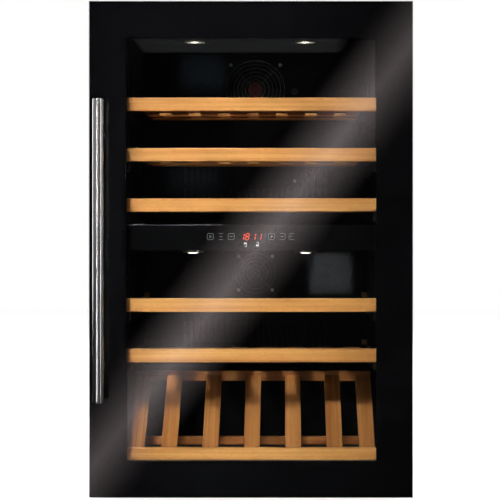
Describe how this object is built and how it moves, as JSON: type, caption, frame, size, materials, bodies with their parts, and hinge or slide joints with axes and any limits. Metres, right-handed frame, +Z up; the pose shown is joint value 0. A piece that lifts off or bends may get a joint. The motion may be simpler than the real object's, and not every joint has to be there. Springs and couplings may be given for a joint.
{
  "type": "wine cooler",
  "caption": "Built-in dual-zone wine cooler with a framed black glass door, round bar handle, beech-fronted sliding shelves, touch control strip and tilted display rack.",
  "frame": {"origin": "on the floor, under the middle of the whole cooler with its door and handle", "axes": "+X to the right of someone facing the door, +Y to the back, +Z up"},
  "size_m": [0.59, 0.608, 0.91],
  "materials": {
    "door_glass": "gloss",
    "border_black": "gloss",
    "door_frame_black": "satin",
    "spacer_grey": "satin",
    "seal_rubber": "matte",
    "bush_plastic": "satin",
    "handle_steel": "satin",
    "cabinet_black": "satin",
    "galvanised_steel": "satin",
    "liner_black": "satin",
    "foam": "matte",
    "fascia_gloss": "gloss",
    "board_green": "satin",
    "lamp_ring": "polished",
    "lamp_lens": "satin",
    "beech": "satin",
    "rail_steel": "satin",
    "evaporator_aluminium": "satin",
    "fan_plastic": "satin",
    "guard_chrome": "polished",
    "sensor_plastic": "satin",
    "compressor_black": "satin",
    "mount_rubber": "matte",
    "copper": "satin",
    "box_plastic": "satin",
    "hinge_steel": "satin",
    "screw_steel": "satin"
  },
  "bodies": {
    "cabinet": {"air_cover_lower": "liner_black", "air_cover_upper": "liner_black", "base_tray": "galvanised_steel", "compressor": "compressor_black", "compressor_mounts": "mount_rubber", "condenser": "evaporator_aluminium", "control_board": "board_green", "control_fascia": "fascia_gloss", "display_rack_frame": "beech", "display_rack_slats": "beech", "drip_tray": "sensor_plastic", "evaporators": "evaporator_aluminium", "fan_guards": "guard_chrome", "fan_housings": "fan_plastic", "fasteners": "screw_steel", "feet_rear": "mount_rubber", "front_frame": "cabinet_black", "hinge_brackets": "hinge_steel", "inner_liner": "liner_black", "insulation_foam": "foam", "lamp_bezels": "lamp_ring", "lamp_lenses": "lamp_lens", "outer_wrapper": "cabinet_black", "power_box": "box_plastic", "power_inlet": "sensor_plastic", "rear_grille": "galvanised_steel", "rear_panel": "galvanised_steel", "refrigerant_line": "copper", "slide_rails": "rail_steel", "temperature_sensors": "sensor_plastic", "zone_divider": "foam"},
    "door": {"door_outer_glass": "door_glass", "door_border_mask": "border_black", "door_spacer": "spacer_grey", "door_inner_glass": "door_glass", "door_frame": "door_frame_black", "hinge_bushes": "bush_plastic", "door_gasket": "seal_rubber", "handle_bar": "handle_steel", "handle_posts": "handle_steel"},
    "shelf_1": {"shelf_1_front": "beech", "shelf_1_deck": "beech", "shelf_1_runners": "rail_steel"},
    "shelf_2": {"shelf_2_front": "beech", "shelf_2_deck": "beech", "shelf_2_runners": "rail_steel"},
    "shelf_3": {"shelf_3_front": "beech", "shelf_3_deck": "beech", "shelf_3_runners": "rail_steel"},
    "shelf_4": {"shelf_4_front": "beech", "shelf_4_deck": "beech", "shelf_4_runners": "rail_steel"},
    "shelf_5": {"shelf_5_front": "beech", "shelf_5_deck": "beech", "shelf_5_runners": "rail_steel"},
    "fan_upper_rotor": {"fan_upper_rotor": "fan_plastic"},
    "fan_lower_rotor": {"fan_lower_rotor": "fan_plastic"},
    "condenser_fan_rotor": {"condenser_fan_rotor": "fan_plastic"},
    "foot_front_left": {"foot_front_left": "mount_rubber"},
    "foot_front_right": {"foot_front_right": "mount_rubber"}
  },
  "joints": [
    {"name": "door_hinge", "type": "hinge", "parent": "cabinet", "child": "door", "pos_m": [0.281, -0.23, 0.455], "axis": [0, 0, 1], "range_deg": [0, 105]},
    {"name": "shelf_1_slide", "type": "slide", "parent": "cabinet", "child": "shelf_1", "axis": [0, -1, 0], "range_m": [0, 0.008]},
    {"name": "shelf_2_slide", "type": "slide", "parent": "cabinet", "child": "shelf_2", "axis": [0, -1, 0], "range_m": [0, 0.008]},
    {"name": "shelf_3_slide", "type": "slide", "parent": "cabinet", "child": "shelf_3", "axis": [0, -1, 0], "range_m": [0, 0.008]},
    {"name": "shelf_4_slide", "type": "slide", "parent": "cabinet", "child": "shelf_4", "axis": [0, -1, 0], "range_m": [0, 0.008]},
    {"name": "shelf_5_slide", "type": "slide", "parent": "cabinet", "child": "shelf_5", "axis": [0, -1, 0], "range_m": [0, 0.008]},
    {"name": "fan_upper_spin", "type": "hinge", "parent": "cabinet", "child": "fan_upper_rotor", "pos_m": [0, 0.225, 0.79], "axis": [0, 1, 0], "continuous": true},
    {"name": "fan_lower_spin", "type": "hinge", "parent": "cabinet", "child": "fan_lower_rotor", "pos_m": [0, 0.225, 0.3995], "axis": [0, 1, 0], "continuous": true},
    {"name": "condenser_fan_spin", "type": "hinge", "parent": "cabinet", "child": "condenser_fan_rotor", "pos_m": [-0.206, 0.1995, 0.0765], "axis": [1, 0, 0], "continuous": true},
    {"name": "foot_left_screw", "type": "slide", "parent": "cabinet", "child": "foot_front_left", "axis": [0, 0, -1], "range_m": [0, 0.01]},
    {"name": "foot_right_screw", "type": "slide", "parent": "cabinet", "child": "foot_front_right", "axis": [0, 0, -1], "range_m": [0, 0.01]}
  ]
}
